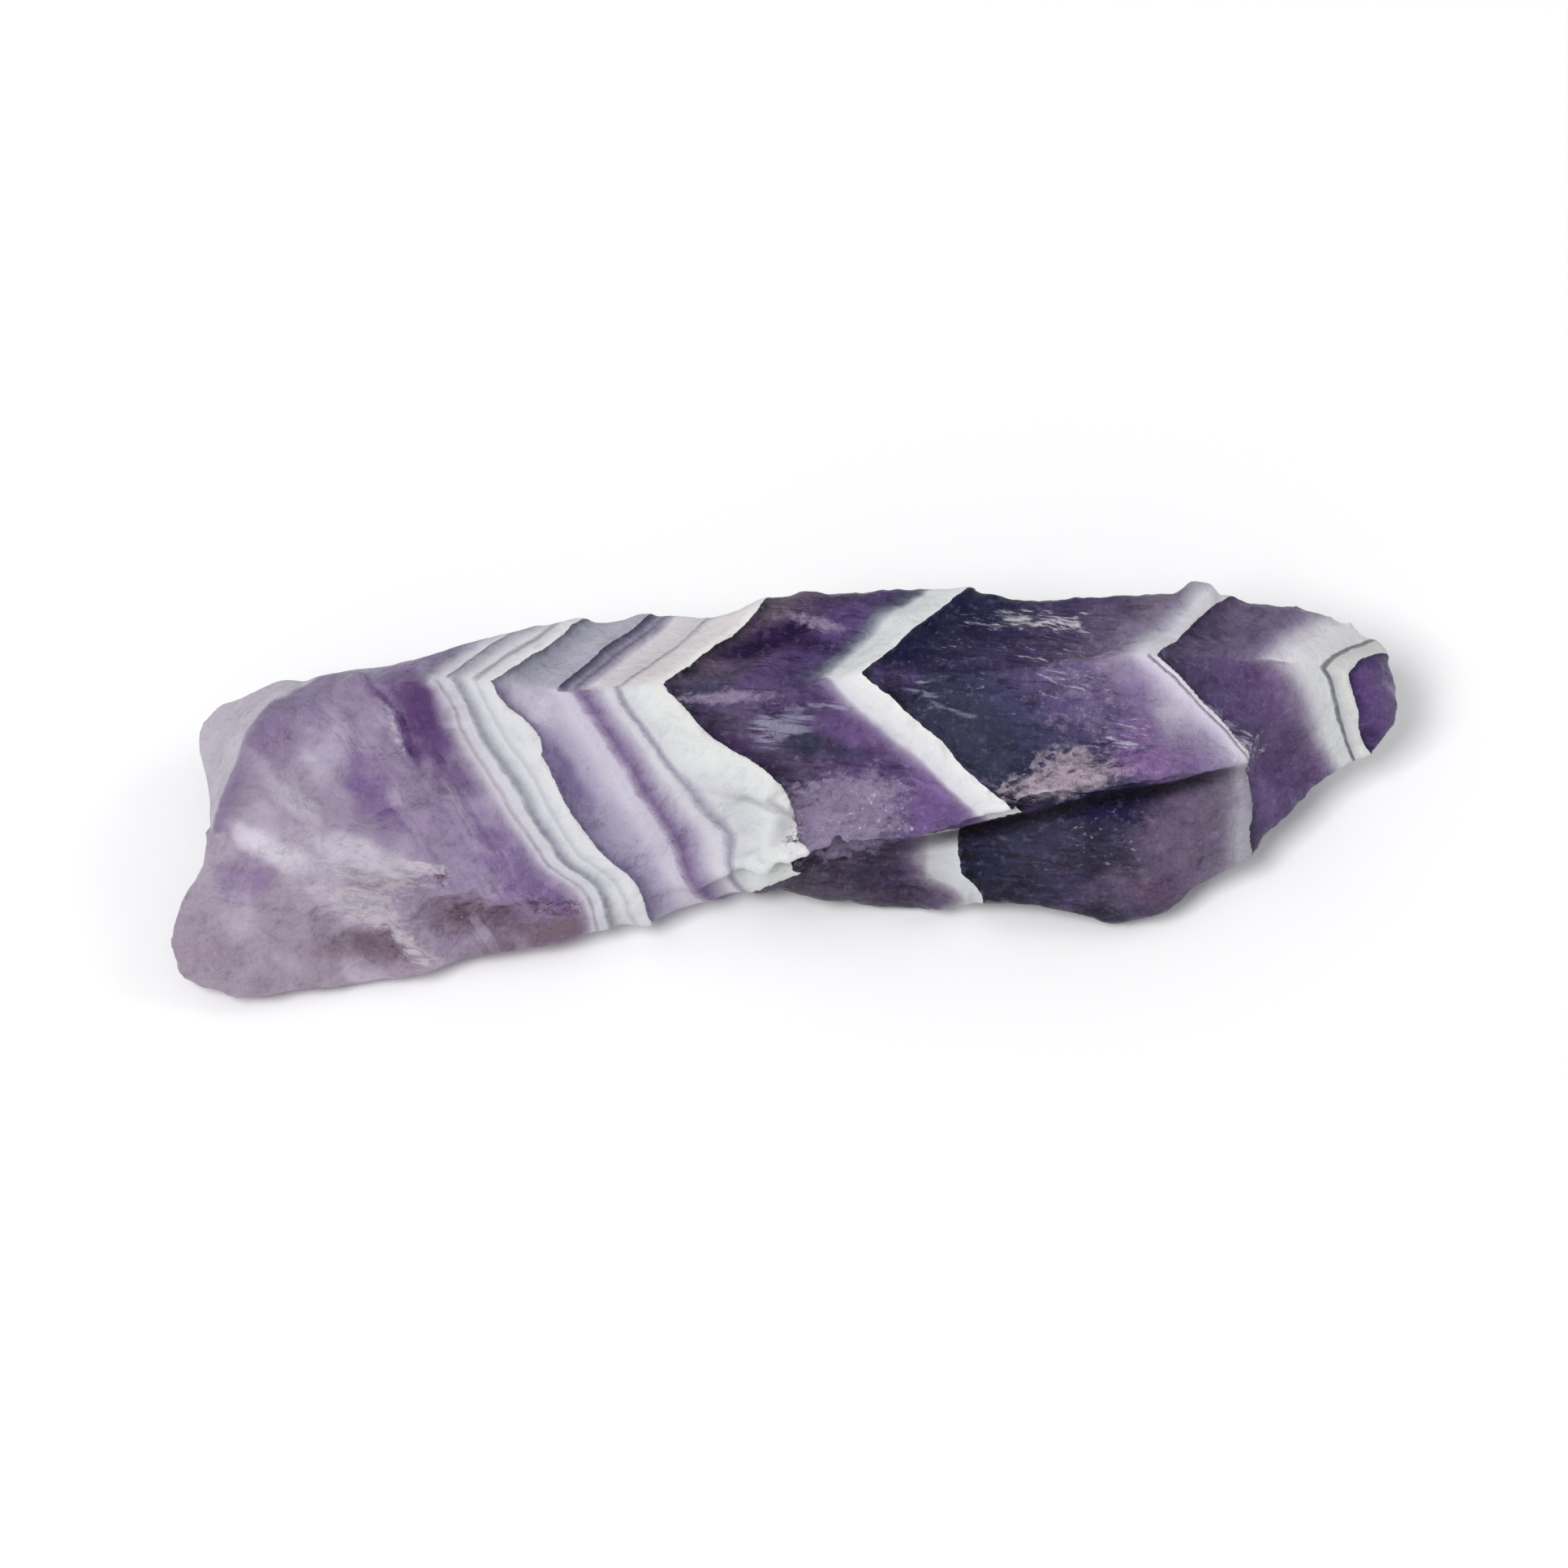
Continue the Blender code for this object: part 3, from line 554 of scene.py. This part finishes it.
# Relief that is too fine for the solid
relief = {
    "lines": [                        # where each ends along the growth, how wide it swells, how high
        (-16.47, 0.6, 0.06), (-15.4, 0.6, 0.06), (-14.43, 0.9, 0.16), (-11.46, 0.9, 0.05),
        (-10.32, 0.7, 0.10), (-8.44, 0.7, 0.06), (-5.96, 1.6, 0.16), (3.9, 0.9, 0.10),
        (17.6, 0.3, 0.04), (17.96, 0.8, 0.10), (26.19, 0.5, 0.05), (27.44, 0.8, 0.07),
    ],
    "lineDrop": 0.12,                 # mm over which it falls off again
    "lowerBehind": 0.4,               # how much lower the lines are behind the crest
    "hackleSize": 2.2,
    "hackleStretch": (1.7, 0.9, 0.9),
    "hackleSharpness": 1.6,
    "hackleHeight": 0.15,
    "ridgeSize": 0.55,
    "ridgeFolds": 2,
    "ridgeStretch": (5.0, 1.0, 1.0),
    "ridgeHeight": 0.06,
    "swellSize": 1.6,
    "swellFolds": 3,
    "swellHeight": 0.08,
    "swellInSmooth": 0.4,             # how much of the swell smooth quartz has
    "grainSize": 0.5,
    "grainFolds": 2,
    "grainHeight": 0.04,
    "smoothMilk": 0.8,                # how much smoother milky quartz is, and the milky end
    "smoothEnd": 0.75,
    "smoothEndFade": (-19.5, -17.5),
    "raggedness": 0.5,
    "raggedSize": 1.2,
    "raggedFolds": 2,
    "raggedShare": 0.35,              # of a narrow oval's half width, so that it stays whole
    "lipStart": (676, 706),           # pixels between which the groove under the lip deepens, then fades
    "lipEnds": (785, 812),
    "lipGroove": 0.40,
    "lipGrooveStart": (-0.05, 0.2),   # mm below the lip, as are the next ones that have two values
    "lipGrooveEnd": (0.3, 1.0),
    "lipRim": 0.20,
    "lipRimStart": (-0.9, -0.2),
    "lipRimEnd": (-0.15, 0.0),
    "milkyZones": ((-17.7, -5.96), (2.3, 3.9), (16.8, 17.96), (24.1, 27.44)),
    "milkyStart": (-0.4, 0.4),        # mm from a milky zone's start and end over which it sets in and stops
    "milkyEnd": (-0.05, 0.1),
    "fullHollow": 0.5,                # the depth that counts as a whole hollow in the painted shade
    "restFade": (0.05, 0.7),          # mm above the table over which all relief sets in
    "dents": {                        # hollows by pixel, half width and height, turn, depth and softness
        "pocket": ((521, 487), (1.7, 3.3), 24, 0.55, .5),
        "shellScar": ((502, 481), (2.3, 1.1), -52, -0.50, .18),
        "knob": ((791, 437), (.8, .5), 0, -0.55, .5),
        "footShell": ((470, 566), (5.6, 2.6), -14, 0.20, .2),
        "grainRise": ((668, 516), (4.4, 2.0), 8, -0.15, .2),
        "smudgeHollow": ((500, 508), (1.0, 2.0), 32, 0.14, .7),
        "fibreStep": ((505, 541), (3.0, .8), -9, 0.32, .4),
        "fibreShell": ((500, 556), (2.6, 1.2), -12, 0.28, .3),
        "fibreRidge": ((512, 556), (.6, 1.8), 28, -0.22, .6),
        "brownHollow": ((538, 552), (2.6, .9), -6, 0.35, .5),
        "milkScoop": ((640, 519), (2.2, 1.6), -15, 0.38, .35),
        "windowFacet": ((660, 486), (3.0, 1.3), -10, 0.25, .25),
        "slateFacet": ((706, 484), (2.8, 1.6), -18, 0.18, .3),
        "forkFacet": ((748, 470), (2.6, 1.4), -25, 0.14, .3),
        "blockScoop": ((745, 530), (3.4, 2.0), 10, 0.22, .5),
        "endScoop": ((822, 492), (2.0, 1.8), 0, 0.18, .4),
        "toeFill": ((638, 535), (2.4, .9), 16, -0.30, .9),
        "footRise": ((664, 542), (1.8, .8), 0, -0.5, .8),
        "browRise": ((657, 443), (3.2, 1.2), 0, -0.55, .8),
        "paleTop": ((450, 473), (1.9, 1.0), 30, -0.55, .8),
        "endRise": ((434, 560), (1.4, 2.4), 0, -0.45, .8),
        "tipRise": ((857, 476), (1.2, 2.0), 0, -0.35, .8),
    },
}


# Shallow shells with sharp rims between them, such as quartz breaks into
def hackleOver(places):
    scaled = places / (np.array(relief["hackleStretch"]) * relief["hackleSize"])
    shells = []
    for place in scaled:
        near = noise.voronoi(Vector(place))[0]
        shells.append(min(1.0, (near[1] - near[0]) * relief["hackleSharpness"]))
    return -np.array(shells)


# Bands that swell and end in a low step
def lineRelief(zone):
    height = np.zeros(len(zone))
    for place, width, rise in relief["lines"]:
        before = np.clip(1 - (place - zone) / width, 0, 1) * (zone <= place)
        after = np.clip(1 - (zone - place) / relief["lineDrop"], 0, 1) * (zone > place)
        height += rise * (before + after)
    return height


# How milky the quartz is at each place in its growth
def milkOver(zone):
    milky = np.zeros(len(zone))
    for start, end in relief["milkyZones"]:
        inside = eased(zone - start, *relief["milkyStart"]) * (1 - eased(zone - end, *relief["milkyEnd"]))
        milky = np.maximum(milky, inside)
    return milky


# An oval whose edge a noise makes ragged
def raggedMask(places, unrest, surface, pixel, size, turn, soft):
    shift = min(relief["raggedness"], relief["raggedShare"] * min(size))
    return ovalMask(places + shift * unrest, surface, pixel, size, turn, soft)


def keep(thing, name, values):
    layer = thing.data.attributes.new(name, "FLOAT", "POINT")
    layer.data.foreach_set("value", values.astype(np.float32))


# Moves the surface in and out, and keeps what the material needs to know about each point
def carve(thing):
    places = coordinates(thing)
    surface = BVHTree.FromPolygons([Vector(p) for p in places], [p.vertices for p in thing.data.polygons])
    whole, behind, block = growthOver(places, surface)
    below, across = belowLip(places)
    onBlock = (below > 0) & (across > lipLine[0][0]) & (across < relief["lipEnds"][1])
    inSpan = eased(across, *relief["lipStart"]) * (1 - eased(across, *relief["lipEnds"]))
    beyond = beyondCrease(places)
    zone = np.where(onBlock, block, whole)
    nearEnd = 1 - eased(zone, *relief["smoothEndFade"])
    rough = (1 - relief["smoothMilk"] * milkOver(zone)) * (1 - relief["smoothEnd"] * nearEnd)
    rough *= 1 - eased(beyond, *crease["smoothOver"])
    unrest = noiseOver(places, relief["raggedSize"], relief["raggedFolds"])[:, None]

    height = lineRelief(zone) * (1 - relief["lowerBehind"] * behind)
    height += relief["hackleHeight"] * rough * hackleOver(places)
    ridges = noiseOver(places, relief["ridgeSize"], relief["ridgeFolds"], relief["ridgeStretch"])
    height += relief["ridgeHeight"] * rough * ridges
    swellShare = relief["swellInSmooth"] + (1 - relief["swellInSmooth"]) * rough
    swells = noiseOver(places, relief["swellSize"], relief["swellFolds"])
    height += relief["swellHeight"] * swellShare * swells
    height += relief["grainHeight"] * rough * noiseOver(places, relief["grainSize"], relief["grainFolds"])
    for pixel, size, turn, depth, soft in relief["dents"].values():
        height -= depth * raggedMask(places, unrest, surface, pixel, size, turn, soft)
    groove = eased(below, *relief["lipGrooveStart"]) * (1 - eased(below, *relief["lipGrooveEnd"])) * inSpan
    rim = eased(below, *relief["lipRimStart"]) * (1 - eased(below, *relief["lipRimEnd"])) * inSpan
    height += relief["lipRim"] * rim - relief["lipGroove"] * groove
    height -= crease["drop"] * eased(beyond, *crease["dropOver"])
    height *= eased(places[:, 2], *relief["restFade"])

    inView = eased(normals(thing) @ np.array(toCamera), *crease["facing"])
    line = eased(beyond, *crease["lineStart"]) * (1 - eased(beyond, *crease["lineEnd"]))
    masks = {
        "growth": whole,
        "behindCrest": behind,
        "blockGrowth": block,
        "inBlock": onBlock.astype(float),
        "groove": groove,
        "hollow": np.clip(-height / relief["fullHollow"], 0, 1),
        "paleFace": inView * eased(beyond, *crease["faceEdge"]),
        "creaseLine": inView * line,
    }
    for name, patch in stainsAndLight.items():
        masks[name] = np.zeros(len(places))
        for pixel, size, turn, strength, soft in patch["ovals"].values():
            oval = strength * raggedMask(places, unrest, surface, pixel, size, turn, soft)
            masks[name] = np.maximum(masks[name], oval)

    places = places + normals(thing) * height[:, None]
    places[:, 2] = np.maximum(places[:, 2], 0)
    putBack(thing, places)
    for name, values in masks.items():
        keep(thing, name, values)


# The linear values of a colour that is given as a screen shows it
def paint(colour):
    linear = [c / 12.92 if c <= 0.04045 else ((c + 0.055) / 1.055) ** 2.4 for c in colour]
    return (*linear, 1.0)


# Makes the nodes of one material, with inputs given as numbers or as the outputs of other nodes. Of a
# mix node's inputs 2 and 3 are its two numbers, and 6 and 7 its two colours.
class Bench:
    def __init__(self, material):
        material.use_nodes = True
        self.tree = material.node_tree
        self.shader = self.tree.nodes["Principled BSDF"]

    def add(self, kind, inputs, **settings):
        made = self.tree.nodes.new(kind)
        for name, value in settings.items():
            setattr(made, name, value)
        for name, value in inputs.items():
            self.plug(value, made.inputs[name])
        return made

    def plug(self, value, socket):
        if isinstance(value, bpy.types.NodeSocket):
            self.tree.links.new(value, socket)
        else:
            socket.default_value = value

    def maths(self, operation, first, second, clamp=False):
        made = self.add("ShaderNodeMath", {0: first, 1: second}, operation=operation, use_clamp=clamp)
        return made.outputs[0]

    def vectors(self, operation, inputs):
        return self.add("ShaderNodeVectorMath", inputs, operation=operation).outputs[0]

    def ease(self, value, start, end, low=0.0, high=1.0, how="SMOOTHSTEP"):
        inputs = {"Value": value, "From Min": start, "From Max": end, "To Min": low, "To Max": high}
        return self.add("ShaderNodeMapRange", inputs, interpolation_type=how).outputs[0]

    def mix(self, share, first, second):
        return self.add("ShaderNodeMix", {0: share, 6: first, 7: second}, data_type="RGBA").outputs[2]

    def blendNumber(self, share, first, second):
        return self.add("ShaderNodeMix", {0: share, 2: first, 3: second}, data_type="FLOAT").outputs[0]

    def attribute(self, name):
        return self.add("ShaderNodeAttribute", {}, attribute_name=name).outputs["Fac"]

    def stretched(self, place, size, turn=(0, 0, 0)):
        inputs = {"Vector": place, "Scale": size, "Rotation": turn}
        return self.add("ShaderNodeMapping", inputs, vector_type="TEXTURE").outputs[0]

    def cloud(self, place, size, detail, rough, twist=0.0):
        inputs = {"Vector": place, "Scale": 1 / size, "Detail": detail, "Roughness": rough}
        inputs["Distortion"] = twist
        return self.add("ShaderNodeTexNoise", inputs).outputs[0]

    def cells(self, place, size):
        return self.add("ShaderNodeTexVoronoi", {"Vector": place, "Scale": 1 / size}).outputs

    def bands(self, zone, stops):
        start, end = stops[0][0], stops[-1][0]
        share = self.ease(zone, start, end, how="LINEAR")
        ramp = self.add("ShaderNodeValToRGB", {0: share})
        points = ramp.color_ramp.elements
        for stop in stops[1:-1]:
            points.new((stop[0] - start) / (end - start))
        for point, stop in zip(points, stops):
            point.color = paint(stop[1:])
        return ramp.outputs[0]


# A noise is given as its size in mm, its detail, its roughness and, where it has one, its twist
finish = {
    "noises": {
        "clouds": (3.2, 3, 0.5, 0.5),
        "hue": (2.4, 4, 0.6, 0.6),
        "mottle": (0.9, 5, 0.65, 0.3),
        "grain": (0.28, 3, 0.7),
    },
    "stretchedNoises": {              # how far each is stretched and turned, and then the same
        "streaks": ((2.2, 0.28, 0.28), (0, 0, -0.1), (1.0, 4, 0.6, 0.8)),
        "fibres": ((1.3, 0.26, 0.26), (0, 0, -0.2), (1.0, 5, 0.7, 0.7)),
    },
    "wispStretch": 1.6,               # wisps follow the growth, and the clouds bend them
    "wispBend": 3.0,
    "wispNoise": (1.6, 4, 0.6),
    "granuleStretch": (1.5, 1.0, 1.0),
    "granuleSize": 0.24,
    "granuleCloud": 0.8,              # how far granules run into each other
    "granuleNoise": (0.5, 5, 0.8, 0.3),
    "ripple": 0.40,                   # how far the zones' edges wander, in mm
    "rippleNoise": (0.9, 5, 0.6),
    "milkyEnd": (-18.0, -19.0),       # where it starts and is full, in mm along the growth
    "cloudColour": (.80, .76, .84),
    "cloudNoise": (0.44, 0.72),
    "depthColour": (.47, .37, .57),
    "depthNoise": (0.52, 0.36),
    "depthFrom": (-26.0, -22.0),
    "endShare": 0.5,                  # of the clouds and depths at the milky end
    "milkyAt": (0.22, 0.62),          # brightness at which quartz counts as milky, and as dark
    "darkAt": (0.30, 0.08),
    "darkFrom": (-6.2, -5.9),         # in mm along the growth again
    "coreUpTo": (18.2, 17.8, 0.25, 1.0),  # a quarter past the first place, all before the second
    "bandLilacFrom": (-14.45, -14.40),
    "bandLilacUpTo": (-11.0, -11.6),
    "veils": [                        # colour, noise, where it starts and is full, share, in which quartz
        ((.09, .08, .23), "hue", 0.46, 0.72, 0.5, "dark"),
        ((.42, .30, .54), "hue", 0.48, 0.28, 0.4, "dark"),
        ((.35, .34, .52), "streaks", 0.50, 0.70, 0.42, "core"),
        ((.05, .03, .13), "streaks", 0.49, 0.34, 0.55, "core"),
        ((.72, .71, .74), "mottle", 0.50, 0.32, 0.3, "milk"),
    ],
    "specks": [                       # the same, over the ovals of colour and of painted shade and light
        ((.72, .66, .80), "granules", 0.53, 0.78, 0.24, "clear"),
        ((.20, .13, .28), "granules", 0.46, 0.24, 0.36, "clear"),
        ((.76, .70, .82), "grain", 0.58, 0.82, 0.22, "clear"),
        ((.10, .06, .15), "grain", 0.43, 0.25, 0.5, "dark"),
    ],
    "patchFull": 0.9,
    "patchEdge": 0.25,
    # Painted shade in hollows, weaker in milky quartz, and painted shadow in the groove under the ledge's
    # lip
    "hollowColour": (.16, .10, .20),
    "hollowShare": 0.25,
    "milkyHollow": 0.3,
    "grooveColour": (.06, .04, .07),
    "grooveShare": 0.8,
    "facetStretch": (1.5, 0.9, 0.9),
    "facetSize": 0.7,
    "facetTilt": 0.38,
    "fineNoise": (0.45, 6, 0.68),
    "chipSize": 0.5,
    "fineHeight": (0.42, 0.14),       # in clear quartz and in milky quartz, as in the next pairs
    "chipHeight": (0.12, 0.03),
    "mottleHeight": (0.30, 0.10),
    "bump": 0.9,
    "roughness": (0.30, 0.52),
    "unevenness": 0.35,               # how much it changes with the mottle
    "ior": 1.544,
    "sheen": 0.22,                    # half of what polished quartz would give, as the surface is broken
    "glow": 0.12,                     # light that soaks in
    "glowDepth": 0.8,
    "glowRadius": (1.0, 0.9, 1.0),
}


# Small grains, each of its own shade, that run into each other
def granulesOver(bench, place):
    shade = bench.cells(bench.stretched(place, finish["granuleStretch"]), finish["granuleSize"])["Color"]
    shade = bench.add("ShaderNodeSeparateXYZ", {0: shade}).outputs[0]
    return bench.blendNumber(finish["granuleCloud"], shade, bench.cloud(place, *finish["granuleNoise"]))


# All the noises that break up the colours
def noiseFields(bench, place, zone):
    fields = {name: bench.cloud(place, *values) for name, values in finish["noises"].items()}
    for name, (stretch, turn, values) in finish["stretchedNoises"].items():
        fields[name] = bench.cloud(bench.stretched(place, stretch, turn), *values)
    along = bench.maths("MULTIPLY", zone, finish["wispStretch"])
    bend = bench.maths("MULTIPLY", fields["clouds"], finish["wispBend"])
    wispPlace = bench.add("ShaderNodeCombineXYZ", {0: along, 1: bend}).outputs[0]
    fields["wisps"] = bench.cloud(wispPlace, *finish["wispNoise"])
    fields["granules"] = granulesOver(bench, place)
    return fields


# The colours of one zone, which differ in front of the crest, behind it and in the block
def zoneColour(bench, zone, number, behind, inBlock):
    colour = bench.bands(zone, frontColours[number])
    if backColours[number] is not frontColours[number]:
        colour = bench.mix(behind, colour, bench.bands(zone, backColours[number]))
    if number in blockColours:
        colour = bench.mix(inBlock, colour, bench.bands(zone, blockColours[number]))
    return colour


# All the zones in a row, the first with paler and deeper clouds in it
def zonesPainted(bench, zone, inBlock, fields):
    behind = bench.attribute("behindCrest")
    colour = zoneColour(bench, zone, 0, behind, inBlock)
    endShare = bench.ease(zone, *finish["milkyEnd"], 0.0, finish["endShare"])
    pale = bench.maths("MULTIPLY", bench.ease(fields["clouds"], *finish["cloudNoise"]), endShare)
    colour = bench.mix(pale, colour, paint(finish["cloudColour"]))
    deep = bench.maths("MULTIPLY", bench.ease(fields["wisps"], *finish["depthNoise"]), endShare)
    deep = bench.maths("MULTIPLY", deep, bench.ease(zone, *finish["depthFrom"]))
    colour = bench.mix(deep, colour, paint(finish["depthColour"]))
    for number, edge in enumerate(zoneEdges):
        following = zoneColour(bench, zone, number + 1, behind, inBlock)
        colour = bench.mix(bench.maths("GREATER_THAN", zone, edge), colour, following)
    return colour


# How milky, clear or dark the quartz is, read off its own colour
def quartzShares(bench, zone, colour):
    bright = bench.add("ShaderNodeRGBToBW", {0: colour}).outputs[0]
    milk = bench.ease(bright, *finish["milkyAt"])
    dark = bench.ease(bright, *finish["darkAt"])
    dark = bench.maths("MULTIPLY", dark, bench.ease(zone, *finish["darkFrom"]))
    lilacStart = bench.ease(zone, *finish["bandLilacFrom"])
    return {
        "any": 1.0,
        "milk": milk,
        "clear": bench.maths("SUBTRACT", 1.0, milk),
        "dark": dark,
        "core": bench.maths("MULTIPLY", dark, bench.ease(zone, *finish["coreUpTo"])),
        "bandLilac": bench.maths("MULTIPLY", lilacStart, bench.ease(zone, *finish["bandLilacUpTo"])),
    }


# Thin colours that a noise puts all over one kind of quartz
def veiled(bench, colour, rows, fields, shares):
    for tint, field, start, full, share, quartz in rows:
        amount = bench.maths("MULTIPLY", bench.ease(fields[field], start, full), share)
        colour = bench.mix(bench.maths("MULTIPLY", amount, shares[quartz]), colour, paint(tint))
    return colour


# Stains and painted shade, shadow, highlights and glints, each broken up by its noise
def paintStainsAndLight(bench, colour, fields, shares):
    for name, patch in stainsAndLight.items():
        mask = bench.attribute(name)
        broken = bench.ease(fields[patch["texture"]], *patch["breaks"], "LINEAR")
        share = bench.ease(bench.maths("ADD", mask, broken), 0.0, finish["patchFull"])
        share = bench.maths("MULTIPLY", share, bench.ease(mask, 0.0, finish["patchEdge"]))
        share = bench.maths("MULTIPLY", share, shares[patch["within"]])
        colour = bench.mix(share, colour, paint(patch["colour"]))
    return colour


# The pale face at the milky end, and the dark line along its crease
def creasePainted(bench, colour):
    colour = bench.mix(bench.attribute("paleFace"), colour, paint(crease["colour"]))
    line = bench.maths("MULTIPLY", bench.attribute("creaseLine"), crease["lineShare"])
    return bench.mix(line, colour, paint(crease["lineColour"]))


# Darker colour where the light doesn't reach
def hollowsPainted(bench, colour, milk):
    hollow = bench.maths("MULTIPLY", bench.attribute("hollow"), finish["hollowShare"])
    hollow = bench.maths("MULTIPLY", hollow, bench.blendNumber(milk, 1.0, finish["milkyHollow"]))
    colour = bench.mix(hollow, colour, paint(finish["hollowColour"]))
    groove = bench.maths("MULTIPLY", bench.attribute("groove"), finish["grooveShare"])
    return bench.mix(groove, colour, paint(finish["grooveColour"]))


# Relief too fine for the mesh, and small broken faces that catch the light
def brokenNormal(bench, place, fields, shares):
    facets = bench.cells(bench.stretched(place, finish["facetStretch"]), finish["facetSize"])
    tilt = bench.vectors("SUBTRACT", {0: facets["Color"], 1: (0.5, 0.5, 0.5)})
    tiltShare = bench.maths("MULTIPLY", shares["clear"], finish["facetTilt"])
    tilt = bench.vectors("SCALE", {0: tilt, "Scale": tiltShare})
    height = 0.0
    layers = {
        "fineHeight": bench.cloud(place, *finish["fineNoise"]),
        "chipHeight": bench.cells(place, finish["chipSize"])["Distance"],
        "mottleHeight": fields["mottle"],
    }
    for name, layer in layers.items():
        layer = bench.maths("MULTIPLY", layer, bench.blendNumber(shares["milk"], *finish[name]))
        height = bench.maths("ADD", height, layer)
    bump = bench.add("ShaderNodeBump", {"Height": height, "Distance": mm, "Strength": finish["bump"]})
    leaned = bench.vectors("ADD", {0: bump.outputs[0], 1: tilt})
    return bench.vectors("NORMALIZE", {0: leaned})


def stoneMaterial():
    material = bpy.data.materials.new("banded_quartz")
    bench = Bench(material)
    here = bench.add("ShaderNodeTexCoord", {}).outputs["Object"]
    place = bench.vectors("SCALE", {0: here, "Scale": 1 / mm})
    ripple = bench.maths("SUBTRACT", bench.cloud(place, *finish["rippleNoise"]), 0.5)
    ripple = bench.maths("MULTIPLY", ripple, finish["ripple"])
    inBlock = bench.maths("GREATER_THAN", bench.attribute("inBlock"), 0.5)
    zone = bench.blendNumber(inBlock, bench.attribute("growth"), bench.attribute("blockGrowth"))
    zone = bench.maths("ADD", zone, ripple)

    fields = noiseFields(bench, place, zone)
    colour = zonesPainted(bench, zone, inBlock, fields)
    shares = quartzShares(bench, zone, colour)
    colour = veiled(bench, colour, finish["veils"], fields, shares)
    colour = creasePainted(bench, colour)
    colour = paintStainsAndLight(bench, colour, fields, shares)
    colour = veiled(bench, colour, finish["specks"], fields, shares)
    colour = hollowsPainted(bench, colour, shares["milk"])

    uneven = bench.maths("SUBTRACT", fields["mottle"], 0.5)
    uneven = bench.maths("MULTIPLY", uneven, finish["unevenness"])
    roughness = bench.blendNumber(shares["milk"], *finish["roughness"])
    roughness = bench.maths("ADD", roughness, uneven, clamp=True)
    bench.plug(colour, bench.shader.inputs["Base Color"])
    bench.plug(roughness, bench.shader.inputs["Roughness"])
    bench.plug(brokenNormal(bench, place, fields, shares), bench.shader.inputs["Normal"])
    bench.shader.inputs["IOR"].default_value = finish["ior"]
    bench.shader.inputs["Specular IOR Level"].default_value = finish["sheen"]
    bench.shader.inputs["Subsurface Weight"].default_value = finish["glow"]
    bench.shader.inputs["Subsurface Radius"].default_value = finish["glowRadius"]
    bench.shader.inputs["Subsurface Scale"].default_value = finish["glowDepth"] * mm
    return material


print("making the stone")
stone = fineCopy()
carve(stone)
selectOnly(stone)
bpy.ops.object.shade_smooth()
print("stone has", len(stone.data.polygons) * 2, "triangles")

print("painting the stone")
stone.data.materials.clear()
stone.data.materials.append(stoneMaterial())
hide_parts(body["node"])
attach(stone, "root")

# The studio: a pale floor under soft light, and the camera where the photograph was taken from
studio = {
    "floorSize": 3.0,                 # in m
    "floorColour": (.98, .98, .98),
    "floorRoughness": 0.9,
    "air": (.97, .98, 1.0),
    "airStrength": 0.52,
    "lamps": [                        # place in m, width in m, strength in W
        {"name": "bigSoftbox", "place": (-0.30, -0.32, 0.78), "width": 0.38, "power": 4.8},
        {"name": "sideSoftbox", "place": (0.55, 0.15, 0.5), "width": 0.3, "power": 0.7},
    ],
}


def lampAt(lamp, target):
    data = bpy.data.lights.new(lamp["name"], "AREA")
    data.size = lamp["width"]
    data.energy = lamp["power"]
    made = bpy.data.objects.new(lamp["name"], data)
    bpy.context.collection.objects.link(made)
    made.location = lamp["place"]
    made.rotation_euler = (target - made.location).to_track_quat("-Z", "Y").to_euler()


def makeStudio():
    middle = (cadBox[0] + cadBox[1]) / 2
    bpy.ops.object.select_all(action="DESELECT")
    bpy.ops.mesh.primitive_plane_add(size=studio["floorSize"])
    floor = bpy.context.object
    floor.name = "floor"
    material = bpy.data.materials.new("pale_floor")
    bench = Bench(material)
    bench.shader.inputs["Base Color"].default_value = paint(studio["floorColour"])
    bench.shader.inputs["Roughness"].default_value = studio["floorRoughness"]
    floor.data.materials.append(material)
    world = bpy.data.worlds.new("air")
    world.use_nodes = True
    background = world.node_tree.nodes["Background"]
    background.inputs["Color"].default_value = (*studio["air"], 1)
    background.inputs["Strength"].default_value = studio["airStrength"]
    bpy.context.scene.world = world
    for lamp in studio["lamps"]:
        lampAt(lamp, middle)
    bpy.context.scene.view_settings.view_transform = "Standard"
    data = bpy.data.cameras.new("camera")
    data.lens = photo["lens"]
    data.sensor_width = photo["sensor"]
    camera = bpy.data.objects.new("camera", data)
    bpy.context.collection.objects.link(camera)
    distance = photo["seenWidth"] * mm * photo["lens"] / photo["sensor"]
    camera.location = middle + toCamera * distance
    camera.rotation_euler = (-toCamera).to_track_quat("-Z", "Y").to_euler()
    bpy.context.scene.camera = camera


print("setting up the studio")
makeStudio()
